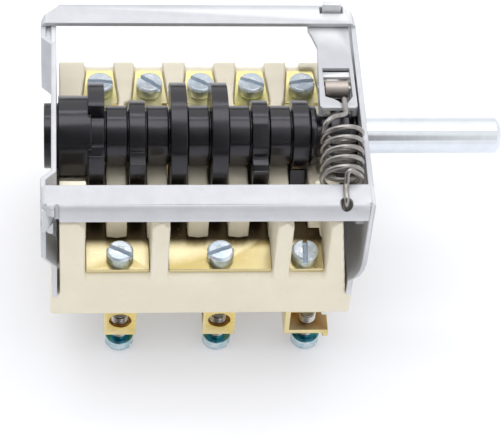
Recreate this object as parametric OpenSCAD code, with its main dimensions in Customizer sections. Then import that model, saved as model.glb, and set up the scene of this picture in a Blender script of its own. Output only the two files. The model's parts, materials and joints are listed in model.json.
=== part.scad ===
// Rotary cam switch for a hot plate: ceramic base, black camshaft, folded steel frame,
// sprung detent lever and screw terminals. The origin is where the shaft's axis meets the
// outer face of the front plate; +X runs out along the shaft and +Z points away from the base.

/* [Shaft] */
// Diameter of the round steel shaft
shaft_d = 6; // [5:0.1:7]
// Length of shaft in front of the front plate
shaft_out = 23.2; // [18:0.2:30]
// Length of the shaft's root, pressed into the camshaft
shaft_in = 20; // [12:0.5:26]
// Diameter of the shaft's root
root_d = 5.4; // [5:0.1:5.8]
// Chamfer on the end of the shaft
shaft_chamfer = 0.7; // [0.3:0.1:1]

/* [Frame] */
// Distance between the outer faces of the front and rear ends
frame_len = 52.8; // [52.2:0.1:54]
// Width over the two bars
frame_w = 44.8; // [44.2:0.1:46.4]
// Thickness of the steel sheet
sheet_t = 0.85; // [0.75:0.05:0.95]
// Height of the bars' upper face above the shaft's axis
frame_top = 8.4; // [8.2:0.1:9]
// Width of the upper face of each bar
bar_w = 4.8; // [4.4:0.1:5.2]
// Height of the outer flange of each bar
flange_h = 3.5; // [2.8:0.1:4]
// Outer radius of the folds
fold_r = 1; // [0.9:0.05:1.4]
// Width of each leg that grips the ceramic
leg_w = 7.6; // [7:0.1:9]
// Distance by which the rear bearing web is set in from the rear legs
rear_step = 1.7; // [1.4:0.05:2]
// Distance by which the skirt is set in below the front plate
front_step = 1.85; // [1.6:0.05:2.1]
// Depth below the axis at which the rear legs step in to the skirt
rear_drop = 5; // [4.6:0.1:6]
// Height of the rear legs' step
rear_jog = 2.2; // [2:0.1:3]
// Depth below the axis at which the front plate slopes in to the skirt
front_drop = 6.8; // [6.4:0.1:7.2]
// Height of the front plate's slope
front_jog = 4.5; // [4:0.1:5]
// Width of the rear bearing web between the rear legs
web_w = 30.4; // [29:0.2:31]
// Height of the rear bearing web above the axis
web_top = 7.4; // [6.8:0.1:7.6]
// Radius of the drawn corner between the rear leg and the near bar
corner_r = 2.2; // [2:0.1:3]
// Width of the relief beside the drawn corner
relief_w = 0.8; // [0.6:0.1:1.2]

/* [Fixing holes] */
// Distance between the two tapped fixing holes
fix_spacing = 31; // [28:0.5:32]
// Radius of the tapped hole
fix_r = 1.65; // [1.3:0.05:1.9]
// Outer radius of the drawn collar round the hole
collar_r = 2.7; // [2.4:0.1:3]
// Height of the drawn collar behind the front plate
collar_h = 1.3; // [0.8:0.1:1.6]

/* [Camshaft] */
// Radius of the barrel between the cams
hub_r = 4.95; // [4.7:0.05:5.1]
// Radius of the rear hub
rear_hub_r = 6.6; // [6:0.1:6.8]
// Radius of the rear journal
journal_r = 5.35; // [5:0.05:5.6]
// Radius of the front journal in the front plate
front_journal_r = 4.2; // [4:0.05:4.5]
// Full radius of a cam
cam_r = 8.75; // [8.4:0.05:9]
// Radius of a cam in its notches
cam_low = 5.8; // [5.5:0.05:6.2]
// Width of a cam
cam_w = 2.65; // [2.4:0.05:2.9]
// Length of the rear hub
rear_hub_len = 4.8; // [4:0.1:5.2]
// Distance of the foremost cam behind the front face
cam_front = 10.3; // [10.2:0.05:10.5]
// Width of the grooves beside the cams
groove_w = 0.35; // [0.3:0.05:0.5]
// Running clearance of the journals
run_gap = 0.06; // [0.04:0.01:0.08]

/* [Detent] */
// Radius over the points of the star wheel
star_r = 6.2; // [6:0.05:6.3]
// Width of the star wheel
star_w = 3; // [2.6:0.1:3.2]
// Clearance of the roller in a notch of the star wheel
star_play = 0.05; // [0.03:0.01:0.08]
// Number of stops in one turn of the shaft
stops = 8; // [6:1:9]
// Angle by which the lever drops from a point of the star wheel into a notch
drop_deg = 2; // [1.5:0.1:2.2]
// Radius of the detent roller
roller_r = 1.45; // [1.2:0.05:1.6]
// Length of the detent roller
roller_len = 3.9; // [3.4:0.1:4]
// Radius of the roller's pin
roller_pin_r = 0.7; // [0.5:0.05:0.8]
// Place of the roller across the frame, from the axis
roller_y = 5; // [4.8:0.1:5.4]
// Clearance between the roller and the points of the star wheel
roller_gap = 0.06; // [0.04:0.01:0.1]

/* [Lever] */
// Width of the lever
lever_w = 5.6; // [5.2:0.1:5.7]
// Thickness of the lever's sheet
lever_t = 0.8; // [0.7:0.05:0.85]
// Clearance between the lever and the front plate
lever_gap = 0.35; // [0.3:0.05:0.45]
// Clearance between the lever and the far bar
lever_under = 0.3; // [0.28:0.02:0.4]
// Extra width of the lever at its hinge
lever_flare = 1.3; // [0.8:0.1:1.6]
// Place of the lever's near edge across the frame
lever_near = -1; // [-1.2:0.1:-0.6]
// Angle at which the lever rises towards its near edge
lever_rise = 3; // [2:0.2:4]
// Distance of the lever's bend from its hinge
lever_bend = 8.2; // [7:0.1:9]
// Extra width of the lever at its near edge, on the side of the cams
lever_spread = 0.6; // [0.3:0.1:0.6]
// Width of the hook that passes through the far bar
hook_w = 3.1; // [2.8:0.1:3.6]
// Height of the hook above the far bar
hook_h = 1.6; // [1.4:0.1:2.2]

/* [Spring] */
// Mean radius of the coil
coil_r = 3.15; // [2.8:0.05:3.3]
// Radius of the spring wire
wire_r = 0.45; // [0.35:0.05:0.5]
// Distance from one turn to the next
coil_pitch = 2.03; // [1.9:0.01:2.05]
// Number of full turns
coil_turns = 5; // [4:1:5]
// Shift of the coil towards the cams over its length
coil_lean = 0.65; // [0.4:0.05:0.8]

/* [Ceramic base] */
// Width of the base across the shaft
base_w = 42; // [41.6:0.1:43]
// Depth of the underside below the axis
base_bottom = 20.9; // [20.5:0.1:22]
// Height of the wide foot
foot_h = 5.2; // [4.6:0.1:5.6]
// Length of the wide foot
foot_len = 49.8; // [49.6:0.1:50]
// Distance of the foot's rear end in front of the frame's rear end
foot_rear = 1.4; // [1.2:0.05:1.6]
// Radius of the near edge of the terminal floor
ledge_r = 1.5; // [1:0.1:2]
// Gap between the base and the frame's skirts
tab_gap = 0.1; // [0.05:0.01:0.15]
// Height of the near pillars above the axis
near_top = 2.8; // [2:0.1:3.4]
// Depth of the top of the ribs below the axis
rib_top = 4.7; // [4.5:0.05:5]
// Depth of the near terminal floor below the axis
near_floor = 11.2; // [10.8:0.1:11.6]
// Depth of the far terminal floor below the axis
far_floor = 6.2; // [6:0.1:6.6]
// Gap between each cam and the ribs beside it
rib_gap = 0.35; // [0.3:0.01:0.4]
// Depth of the contact chambers below the axis
chamber_floor = 17; // [16:0.2:17.4]
// Distance of the near ends of the ribs from the near face
rib_end = 7.8; // [7.6:0.1:8]
// Distance of the near ends of the far pillars from the far face
pillar_len = 8; // [7.6:0.1:8.4]
// How far the front end leans back at its top
front_lean = 1.9; // [1.4:0.1:2.2]

/* [Terminals] */
// Thickness of the brass terminal strips
strip_t = 0.8; // [0.7:0.05:1]
// Thickness of the contact blades
blade_t = 0.35; // [0.25:0.05:0.4]
// Width of the contact blades
blade_w = 2.4; // [2:0.1:2.6]
// Length of the bend at a blade's root
blade_bend = 3.2; // [2.6:0.1:3.6]
// Radius of the contact rivets
rivet_r = 1; // [0.8:0.05:1.15]
// Width of the followers
follower_w = 2.4; // [2:0.1:2.5]
// Half the length of a follower's foot
follower_foot = 1.4; // [1.2:0.1:1.8]
// Half the length of a follower's head
follower_head = 2.2; // [1.9:0.1:2.6]
// Radius of the head of the terminal screws
head_r = 2.2; // [1.9:0.05:2.3]
// Height of the head of the terminal screws
head_h = 2.3; // [1.8:0.1:2.6]
// Radius of the shank of the terminal screws
shank_r = 1.25; // [1:0.05:1.4]
// Width of the driver slot
slot_w = 0.7; // [0.5:0.05:0.9]
// Width of the folded wire clamps
clamp_w = 5.4; // [5:0.1:5.6]
// Height of the wire clamps
clamp_h = 6.8; // [6:0.1:7.4]
// Depth of the wire clamps across the base
clamp_d = 5.6; // [5:0.1:6]
// Extra width of the clamp beside the shaft
side_extra = 1.3; // [1:0.1:1.6]
// Height of the lip on the clamp beside the shaft
lip_h = 0.9; // [0.6:0.1:1.2]
// Length of a clamp screw's tip inside its clamp
tip_len = 1.8; // [1.4:0.1:2.2]
// Radius of the wire hole in a clamp
wire_hole_r = 1.85; // [1.5:0.05:1.9]
// Thickness of the clamps' sheet
clamp_t = 0.9; // [0.7:0.05:1]
// Radius of the head of the clamp screws
clamp_head_r = 2.4; // [2:0.1:2.5]
// Distance by which the clamp screws are backed out
backed_out = 3.6; // [3:0.1:4]

/* [Hidden] */
$fn = 48;
e = 0.01;
hw = frame_w / 2;
rear = -frame_len;
// Lower end of the drawn corner
corner_low = frame_top - 5.2;
zinc = [0.72, 0.73, 0.75];
brass = [0.83, 0.68, 0.28];
cream = [0.87, 0.82, 0.68];
black = [0.09, 0.09, 0.1];
bright = [0.8, 0.83, 0.87];

// Low arcs of the cams, from the rear to the front: [start, end] in degrees about the shaft.
// The contacts sit at 270, where every cam is full in the off position.
low_arcs = [[[98, 154], [298, 342]], [[-12, 164], [300, 325]], [[298, 382]], [[290, 340]],
    [[-8, 174], [305, 330]], [[-70, 237]]];
cams = len(low_arcs);
// The fifth cam has a small flat in its low arc
flat_cam = 4;
flat_dir = 132;
stop_deg = 360 / stops;
ramp_deg = 6;

// Places along the camshaft
web_x = rear + rear_step;
web_face = web_x + sheet_t;
rear_hub_x0 = web_face + 0.3;
cam_pitch = (-cam_front - rear_hub_x0 - rear_hub_len - cam_w / 2) / (cams - 1);
function cam_x(i) = -cam_front - (cams - 1 - i) * cam_pitch;
rear_hub_x1 = cam_x(0) - cam_w / 2;
front_hub_x = cam_x(cams - 1) + cam_w / 2 + 1.35;
lever_x1 = -sheet_t - lever_gap;
lever_x0 = lever_x1 - lever_w;
star_x = (lever_x0 + lever_x1) / 2;
neck_r = 3.6;
// Start of the shaft's full diameter
shoulder = 0.1;

// Lever: the web lies just under the far bar
lever_top = frame_top - sheet_t - lever_under;
hinge_y = hw - 1.65;
hinge_z = frame_top - sheet_t / 2;
roller_z = sqrt(pow(star_r + roller_gap + roller_r, 2) - roller_y * roller_y);
cheek_low = 4.7;
bend_y = hinge_y - lever_bend;
function web_at(y) = lever_top + max(0, bend_y - y) * tan(lever_rise);
function spread_at(y) = lever_spread * max(0, bend_y - y) / (bend_y - lever_near);
// The roller's place when it sits in a notch, with the lever turned down by drop_deg
seat_y = hinge_y + (roller_y - hinge_y) * cos(drop_deg) - (roller_z - hinge_z) * sin(drop_deg);
seat_z = hinge_z + (roller_z - hinge_z) * cos(drop_deg) + (roller_y - hinge_y) * sin(drop_deg);
roller_x = star_x - 0.15;
window_far = roller_y + 3.3;
window_near = roller_y - 3.4;
window_x0 = roller_x - 2.2;
window_x1 = roller_x + 2.3;
hook_x = star_x + 0.6;

// Spring: its axis runs across the frame, level with the upper face of the bars
spring_x = star_x - 0.4;
spring_z = frame_top + wire_r + 0.1;
slot_x = spring_x - 0.35;
slot_r = 1;
slot_y = -hw + 1;
coil_far = -6.55;
coil_near = coil_far - coil_turns * coil_pitch;

// Ceramic base
base_x1 = -front_step - sheet_t - tab_gap;
base_x0 = web_face + tab_gap + 0.3;
foot_x0 = rear + foot_rear;
hb = base_w / 2;
foot_top = -base_bottom + foot_h;
lean_z = foot_top + 0.9;
chamber_w = cam_w + 2 * rib_gap;
rib_near = -hb + rib_end;
pillar_y = hb - pillar_len;
rib_far = pillar_y - 3.4;
far_wall = 1.2;
far_wall_top = far_floor - 0.3;
// Pockets and screws are spaced over the length of the base
function along_base(f) = base_x0 + f * (base_x1 - base_x0);
near_edges = [for (p = [[0.088, 0.3135], [0.375, 0.7385], [0.796, 0.9215]]) [along_base(p[0]), along_base(p[1])]];
near_screw_x = [for (f = [0.2085, 0.558, 0.8525]) along_base(f)];
near_screw_y = -hb + 3.5;
far_screw_x = [for (f = [0.1477, 0.3262, 0.5112, 0.6961, 0.881]) along_base(f)];
far_screw_y = hb - 5.9;
far_pocket_w = 4.8;
far_pocket_in = 6.2;
strip_play = 0.15;
clamp_x = near_screw_x + [0.25, 0.4, 0.95];

function polar(r, a) = [r * cos(a), r * sin(a)];

// Turns a profile in the YZ plane into a solid from x0 to x1
module along_x(x0, x1) {
    translate([x0, 0, 0]) rotate([90, 0, 90]) linear_extrude(x1 - x0) children();
}

module block(x0, x1, y0, y1, z0, z1) {
    translate([x0, y0, z0]) cube([x1 - x0, y1 - y0, z1 - z0]);
}

module rod_x(x0, x1, r) {
    translate([x0, 0, 0]) rotate([0, 90, 0]) cylinder(h = x1 - x0, r = r);
}

// Angle section with a round fold at its outer corner, which lies at the origin
module fold_profile(w, h, t, r) {
    difference() {
        union() {
            translate([r, -t]) square([w - r, t]);
            translate([0, -h]) square([t, h - r]);
            translate([r, -r]) circle(r);
        }
        translate([r, -r]) circle(r - t);
        translate([r, -h]) square([w, h - t]);
        translate([t, -h - e]) square([r, h - r + e]);
    }
}

// One bar of the frame, on the side where s is 1 or -1
module bar(s) {
    x0 = rear + fold_r;
    along_x(x0, -fold_r) translate([s * hw, frame_top]) mirror([s > 0 ? 1 : 0, 0])
        fold_profile(bar_w, flange_h, sheet_t, fold_r);
}

// A leg seen from the side: down the end, a step inward and the skirt beside the ceramic
module end_profile(step, drop, jog) {
    z2 = -drop - jog;
    bow = jog > 3 ? [[0.12 * step, -drop - 0.45 * jog], [0.45 * step, -drop - 0.8 * jog]] : [];
    back = [for (i = [len(bow) - 1:-1:0]) bow[i] + [sheet_t, -0.35]];
    polygon(concat([[0, frame_top - fold_r], [0, -drop]], bow, [[step, z2], [step, foot_top + 0.1],
        [step + sheet_t, foot_top + 0.1], [step + sheet_t, z2 - 0.4]], back, [[sheet_t, -drop - 0.4],
        [sheet_t, frame_top - fold_r]]));
}

// The sheet at one end, from y0 to y1; dir points into the part
module end_sheet(x, dir, y0, y1, step, drop, jog) {
    translate([x, y1, 0]) rotate([90, 0, 0]) linear_extrude(y1 - y0)
        mirror([dir > 0 ? 0 : 1, 0]) end_profile(step, drop, jog);
}

// Round fold from an end into a bar
module end_fold(x, dir, y0, y1) {
    translate([x + dir * fold_r, y1, frame_top - fold_r]) rotate([90, 0, 0]) linear_extrude(y1 - y0)
        intersection() {
            difference() {
                circle(fold_r);
                circle(fold_r - sheet_t);
            }
            translate([dir > 0 ? -fold_r : 0, 0]) square(fold_r);
        }
}

// Plan of the rear end: legs at the sides, the bearing web set in between them
module rear_plan() {
    w = web_w / 2;
    for (s = [0, 1]) mirror([0, s])
        polygon([[rear, hw - 0.9], [rear, w], [web_x, w - 1.6], [web_x, 0], [web_face, 0], [web_face, w - 1.2],
            [rear + sheet_t, w + 0.4], [rear + sheet_t, hw - 0.9]]);
}

module tapped_hole(y) {
    translate([-sheet_t - collar_h - e, y, 0]) rotate([0, 90, 0]) cylinder(h = sheet_t + collar_h + 2 * e, r = fix_r);
}

module frame_solid() {
    bar(1);
    bar(-1);
    // front plate with its skirt, and the collars of the fixing holes
    end_sheet(0, -1, -hw + 0.9, hw - 0.9, front_step, front_drop, front_jog);
    block(-sheet_t, 0, -hw + leg_w, hw - leg_w, 0, frame_top - fold_r);
    for (s = [-1, 1]) {
        end_fold(0, -1, s > 0 ? hw - bar_w : -hw + 0.9, s > 0 ? hw - 0.9 : -hw + bar_w);
        end_fold(rear, 1, s > 0 ? hw - bar_w : -hw + 0.9, s > 0 ? hw - 0.9 : -hw + bar_w);
        translate([-sheet_t - collar_h, s * fix_spacing / 2, 0]) rotate([0, 90, 0]) cylinder(h = collar_h + e, r = collar_r);
    }
    // rear legs, their steps, and the bearing web down to the skirt
    translate([0, 0, -rear_drop]) linear_extrude(rear_drop + web_top) rear_plan();
    for (s = [-1, 1])
        end_sheet(rear, 1, s > 0 ? web_w / 2 + 0.2 : -hw + 0.9, s > 0 ? hw - 0.9 : -web_w / 2 - 0.2, rear_step, rear_drop, rear_jog);
    block(web_x, web_face, -hw + leg_w, hw - leg_w, foot_top + 0.1, 0);
    // drawn corner, whose free edge slants back to the rear leg
    intersection() {
        translate([rear + corner_r, -hw + corner_r, corner_low]) linear_extrude(frame_top - sheet_t / 2 - corner_low) difference() {
            circle(corner_r);
            circle(corner_r - sheet_t);
            translate([0, -corner_r]) square(2 * corner_r);
            translate([-corner_r, 0]) square(2 * corner_r);
        }
        rotate([90, 0, 0]) linear_extrude(hw + 1)
            polygon([[rear - 1, corner_low], [rear + sheet_t, corner_low], [rear + corner_r + e, frame_top - 2.2],
                [rear + corner_r + e, frame_top], [rear - 1, frame_top]]);
    }
}

module frame() {
    color(zinc) difference() {
        frame_solid();
        // bearing holes for the camshaft's journals
        rod_x(rear - e, rear_hub_x0 - 0.2, journal_r + run_gap);
        rod_x(-sheet_t - e, e, front_journal_r + run_gap);
        for (s = [-1, 1]) tapped_hole(s * fix_spacing / 2);
        // slot for the near hook of the spring, over the fold
        translate([slot_x, slot_y, frame_top - 0.45]) rotate([24, 0, 0]) translate([0, 0, -1.3]) linear_extrude(3) {
            translate([0, -0.15]) circle(slot_r);
            translate([0, 0.15]) circle(slot_r);
            translate([-slot_r, -0.15]) square([2 * slot_r, 0.3]);
        }
        // round of the drawn corner, and the relief beside it
        translate([rear + corner_r, -hw + corner_r, corner_low + e]) linear_extrude(frame_top) difference() {
            translate([-corner_r - 1, -corner_r - 1]) square(corner_r + 1);
            circle(corner_r);
        }
        block(rear + corner_r, rear + corner_r + relief_w, -hw - 1, -hw + 0.3, corner_low, frame_top + 1);
        translate([rear + corner_r + relief_w / 2, -hw + 0.3, corner_low]) cylinder(h = frame_top, r = relief_w / 2);
        block(rear + sheet_t, rear + corner_r + e, -hw - 1, -hw + sheet_t, corner_low - 1, frame_top - flange_h + 1.3);
        // clipped corners of the far bar
        translate([0, 0, frame_top - flange_h - 0.2]) linear_extrude(flange_h + 1) {
            polygon([[rear - 1, hw + 1], [rear + 3.3, hw + 1], [rear + 3.3, hw], [rear + 2.6, hw - 1.1], [rear + 1.6, hw - 2],
                [rear + 0.7, hw - 2.7], [rear, hw - 3.8], [rear - 1, hw - 3.8]]);
            polygon([[1, hw + 1], [-2.2, hw + 1], [-2.2, hw], [-1.7, hw - 1.3], [-0.6, hw - 2], [-0.2, hw - 3.6], [0, hw - 4.6],
                [1, hw - 4.6]]);
        }
        // slot for the lever's hook
        block(star_x - hook_w / 2 - 0.4, star_x + hook_w / 2 + 0.4, hinge_y - lever_t / 2 - 0.35, hinge_y + lever_t / 2 + 0.35,
            frame_top - sheet_t - e, frame_top + e);
    }
}

// Wedge that takes a cam down to its low radius, with a slanted flank at each end
module low_wedge(a0, a1) {
    n = ceil((a1 - a0) / 20);
    lean = ramp_deg * 1.4;
    difference() {
        polygon(concat([for (k = [0:n]) polar(cam_r * 1.15, a0 - 1 + (a1 - a0 + 2) * k / n)],
            [for (k = [n:-1:0]) polar(cam_low * 0.75, a0 + lean + (a1 - a0 - 2 * lean) * k / n)]));
        circle(cam_low);
    }
}

module cam_profile(i) {
    difference() {
        circle(cam_r);
        for (arc = low_arcs[i]) low_wedge(arc[0], arc[1]);
        if (i == flat_cam) rotate(flat_dir) translate([cam_low - 0.25, -cam_low]) square([cam_low, 2 * cam_low]);
    }
}

module star_profile() {
    difference() {
        circle(star_r);
        for (k = [0:stops - 1])
            rotate(k * stop_deg) translate([seat_y, seat_z]) circle(roller_r + star_play);
    }
}

module camshaft() {
    core_r = hub_r - 0.6;
    color(black) difference() {
        union() {
            rod_x(rear + 0.5, rear_hub_x0 + 0.5, journal_r);
            rod_x(rear_hub_x0, rear_hub_x1 + 0.5, rear_hub_r);
            rod_x(rear_hub_x1, front_hub_x - 0.5, core_r);
            for (i = [0:cams - 1]) {
                x = cam_x(i) + cam_w / 2;
                along_x(x - cam_w, x) cam_profile(i);
                // barrel up to the next cam, with a groove beside each cam
                rod_x(x + groove_w, i < cams - 1 ? cam_x(i + 1) - cam_w / 2 - groove_w : front_hub_x, hub_r);
            }
            rod_x(front_hub_x - 0.5, -0.5, neck_r);
            rod_x(-sheet_t - 0.15, -0.05, front_journal_r);
            along_x(star_x - star_w / 2, star_x + star_w / 2) star_profile();
        }
        rod_x(-shaft_in, 1, root_d / 2);
        rod_x(rear, rear + 3, 2.2);
    }
}

module shaft() {
    color(bright) rotate([0, 90, 0]) rotate_extrude($fn = 64)
        polygon([[0, -shaft_in], [root_d / 2, -shaft_in], [root_d / 2, shoulder], [shaft_d / 2, shoulder],
            [shaft_d / 2, shaft_out - shaft_chamfer], [shaft_d / 2 - shaft_chamfer, shaft_out], [0, shaft_out]]);
}

// Lever: a bent channel with a window over the roller, and a hook that hangs in the far bar
module lever_plan() {
    polygon([[lever_x0 - lever_spread, lever_near + 0.5], [lever_x0 - lever_spread + 0.5, lever_near], [lever_x1 - 0.5, lever_near],
        [lever_x1, lever_near + 0.5], [lever_x1, hinge_y - 2.2], [star_x + hook_w / 2, hinge_y - 1.4],
        [star_x + hook_w / 2, hinge_y + lever_t / 2], [star_x - hook_w / 2, hinge_y + lever_t / 2],
        [star_x - hook_w / 2, hinge_y - 1.4], [lever_x0 - lever_flare, hinge_y - 2.2],
        [lever_x0 - lever_flare, hinge_y - 3.4], [lever_x0 - 0.6 * lever_flare, hinge_y - 4.8],
        [lever_x0 - 0.3, hinge_y - 6.4], [lever_x0, hinge_y - 7.4]]);
}

// Window between the cheeks; its near edge draws in to a seat for the spring's hook
module window_plan() {
    polygon([[window_x0, window_far], [window_x0, window_near + 0.1], [hook_x - 1.6, window_near - 0.5],
        [hook_x - 0.8, window_near - 1.1], [hook_x - 0.55, window_near - 1.45], [hook_x + 0.55, window_near - 1.45],
        [hook_x + 0.8, window_near - 1.1], [hook_x + 1.2, window_near - 0.5], [window_x1, window_near + 0.1], [window_x1, window_far]]);
}

module cheek_profile() {
    polygon([[lever_near + 0.3, web_at(lever_near) - 0.4], [lever_near + 0.3, cheek_low + 0.8], [lever_near + 2, cheek_low],
        [window_far - 1.2, cheek_low], [window_far + 1.6, lever_top - lever_t - 0.6], [bend_y - 0.4, lever_top - lever_t - 0.2],
        [bend_y - 0.4, lever_top - 0.3]]);
}

module detent_lever() {
    color(zinc) difference() {
        union() {
            intersection() {
                linear_extrude(frame_top + hook_h) lever_plan();
                along_x(lever_x0 - 3, lever_x1 + 1)
                    polygon([[lever_near - 1, web_at(lever_near - 1)], [bend_y, lever_top], [hinge_y + lever_t / 2, lever_top],
                        [hinge_y + lever_t / 2, lever_top - lever_t], [bend_y, lever_top - lever_t],
                        [lever_near - 1, web_at(lever_near - 1) - lever_t]]);
            }
            // cheeks folded down on both sides, the rear one spread towards the cams
            translate([lever_x1 - lever_t, 0, 0]) rotate([90, 0, 90]) linear_extrude(lever_t) cheek_profile();
            intersection() {
                translate([lever_x0 - 1, 0, 0]) rotate([90, 0, 90]) linear_extrude(3) cheek_profile();
                linear_extrude(frame_top)
                    polygon([[lever_x0, bend_y], [lever_x0 - lever_spread, lever_near], [lever_x0 - lever_spread + lever_t, lever_near],
                        [lever_x0 + lever_t, bend_y]]);
            }
            // hook through the far bar
            block(star_x - hook_w / 2, star_x + hook_w / 2, hinge_y - lever_t / 2, hinge_y + lever_t / 2,
                lever_top - lever_t, frame_top + hook_h);
        }
        translate([0, 0, lever_top - lever_t - 0.2]) linear_extrude(3) window_plan();
        // holes for the roller's pin
        translate([0, roller_y, roller_z]) rod_x(lever_x0 - 2, lever_x1 + 1, roller_pin_r);
    }
    // bridge behind the roller, set below the web
    color(zinc) block(lever_x0 + lever_t - 0.4, lever_x1 - lever_t + 0.2, window_far - 1.5, window_far - 0.35,
        cheek_low + 1.5, cheek_low + 2.2);
}

module roller_pin() {
    color(bright) translate([0, roller_y, roller_z])
        rod_x(lever_x0 - spread_at(roller_y) - 0.1, lever_x1 + 0.15, roller_pin_r);
}

module detent_roller() {
    color([0.62, 0.55, 0.48]) translate([roller_x, roller_y, roller_z]) difference() {
        rod_x(-roller_len / 2, roller_len / 2, roller_r);
        rod_x(-roller_len, roller_len, roller_pin_r + run_gap);
    }
}

// Centre line of the spring: far hook, coil, near hook
ring_steps = 16;
coil_steps = coil_turns * ring_steps + 8;
function coil_point(k, r = coil_r) = let (a = 180 + k * 360 / ring_steps, t = min(k / ring_steps, coil_turns + 0.2))
    [spring_x - coil_lean * t / coil_turns + r * cos(a), coil_far - t * coil_pitch, spring_z + r * sin(a)];
function helix() = [for (k = [1:coil_steps]) coil_point(k)];
tongue_top = web_at(window_near - 1) + wire_r + 0.06;
far_hook = [[hook_x, window_near - 0.7, tongue_top - 1.3], [hook_x, window_near - 0.75, tongue_top - 0.75],
    [hook_x, window_near - 0.95, tongue_top - 0.2], [hook_x, window_near - 1.5, tongue_top + 0.02],
    [hook_x, lever_near - 0.3, tongue_top + 0.1], [hook_x - 0.05, lever_near - 1.9, tongue_top + 0.45],
    [hook_x - 0.5, lever_near - 2.7, tongue_top + 0.75], [hook_x - 1.5, lever_near - 3.4, tongue_top + 1.05],
    [spring_x - 1.6, lever_near - 4.2, spring_z + 1.55], [spring_x - 2.75, coil_far + 0.45, spring_z + 1]];
coil_x_end = spring_x - coil_lean;
near_hook = [coil_point(coil_steps + 1.2), coil_point(coil_steps + 2.4),
    [coil_x_end + 1.1, coil_near - 0.55, spring_z + coil_r - 0.5], [coil_x_end + 0.55, coil_near - 0.75, spring_z + coil_r - 1.1],
    [slot_x + 0.25, coil_near - 1.05, spring_z + 0.9], [slot_x + 0.1, coil_near - 1.6, spring_z + 0.15],
    [slot_x, coil_near - 2.4, spring_z], [slot_x, slot_y + 0.8, spring_z], [slot_x, slot_y + 0.2, spring_z - 0.35],
    [slot_x, slot_y - 0.05, frame_top - 0.5], [slot_x, slot_y + 0.1, frame_top - 1.3], [slot_x, slot_y + 0.6, frame_top - 2]];
spring_path = concat(far_hook, helix(), near_hook);

// A round tube along a path, with its rings held square to it
function unit(v) = v / norm(v);
function tangent(p, i) = unit(p[min(i + 1, len(p) - 1)] - p[max(i - 1, 0)]);
function side(t) = unit(cross(t, abs(t[1]) < 0.9 ? [0, 1, 0] : [1, 0, 0]));
function carried(p, i, last) = let (t = tangent(p, i)) unit(last - t * (last * t));
function frames(p, i, last, out) = i == len(p) ? out
    : let (u = carried(p, i, last)) frames(p, i + 1, u, concat(out, [u]));
module tube(p, r, sides) {
    u0 = side(tangent(p, 0));
    us = frames(p, 0, u0, []);
    n = len(p);
    points = [for (i = [0:n - 1]) let (t = tangent(p, i), v = cross(t, us[i]))
        for (k = [0:sides - 1]) p[i] + r * (us[i] * cos(360 * k / sides) + v * sin(360 * k / sides))];
    walls = [for (i = [0:n - 2]) for (k = [0:sides - 1])
        [i * sides + k, i * sides + (k + 1) % sides, (i + 1) * sides + (k + 1) % sides, (i + 1) * sides + k]];
    ends = [[for (k = [sides - 1:-1:0]) k], [for (k = [0:sides - 1]) (n - 1) * sides + k]];
    polyhedron(points, concat(walls, ends), convexity = 8);
}

module tension_spring() {
    color([0.45, 0.43, 0.42]) tube(spring_path, wire_r, 8);
}

// Plan of a rib: a round near end, straight beside the cams, then over to its pillar
module rib_plan(i, k) {
    x0 = rib_x0(i);
    x1 = rib_x1(i);
    w = x1 - x0;
    translate([x0 + w / 2, rib_near + w / 2]) circle(w / 2);
    polygon([[x0, rib_near + w / 2], [x1, rib_near + w / 2], [x1, rib_far], [pillar_x1(k, far_pocket_in), pillar_y],
        [pillar_x1(k, far_pocket_w), hb], [pillar_x0(k, far_pocket_w), hb], [pillar_x0(k, far_pocket_in), pillar_y],
        [x0, rib_far]]);
}

function rib_x0(i) = cam_x(i) + chamber_w / 2;
function rib_x1(i) = cam_x(i + 1) - chamber_w / 2;

// The rib between two cams of one circuit ends at their load terminal
module short_rib(i) {
    w = rib_x1(i) - rib_x0(i);
    translate([rib_x0(i) + w / 2, rib_near + w / 2]) circle(w / 2);
    translate([rib_x0(i), rib_near + w / 2]) square([w, rib_far - rib_near - w / 2]);
}

// Far pillars stand midway between the far terminals
function pillar_x0(k, w) = far_screw_x[k] + w / 2;
function pillar_x1(k, w) = far_screw_x[k + 1] - w / 2;

// Plan of a load terminal's pocket, wider towards the shaft
module pocket_plan(x, play) {
    w0 = far_pocket_w / 2 - play;
    w1 = far_pocket_in / 2 - play;
    polygon([[x - w1, pillar_y - 2], [x + w1, pillar_y - 2], [x + w1, pillar_y], [x + w0, hb - far_wall - play],
        [x - w0, hb - far_wall - play], [x - w1, pillar_y]]);
}

// Pocket of a feed terminal: flared at the top, with a round near edge to its floor
module near_pocket(x0, x1) {
    block(x0, x1, -hb - 1, rib_near + 0.2, -near_floor, near_top + 1);
    translate([0, rib_near + 0.2, 0]) rotate([90, 0, 0]) linear_extrude(hb) {
        polygon([[x0 + e, near_top - 1.3], [x0 + e, near_top + 1], [x0 - 2.1, near_top + 1]]);
        polygon([[x1 - e, near_top - 1.3], [x1 - e, near_top + 1], [x1 + 2.1, near_top + 1]]);
    }
    difference() {
        block(x0, x1, -hb - 1, -hb + ledge_r, -near_floor - ledge_r, -near_floor + e);
        translate([0, -hb + ledge_r, -near_floor - ledge_r]) rod_x(x0 - 1, x1 + 1, ledge_r);
    }
}

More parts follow.
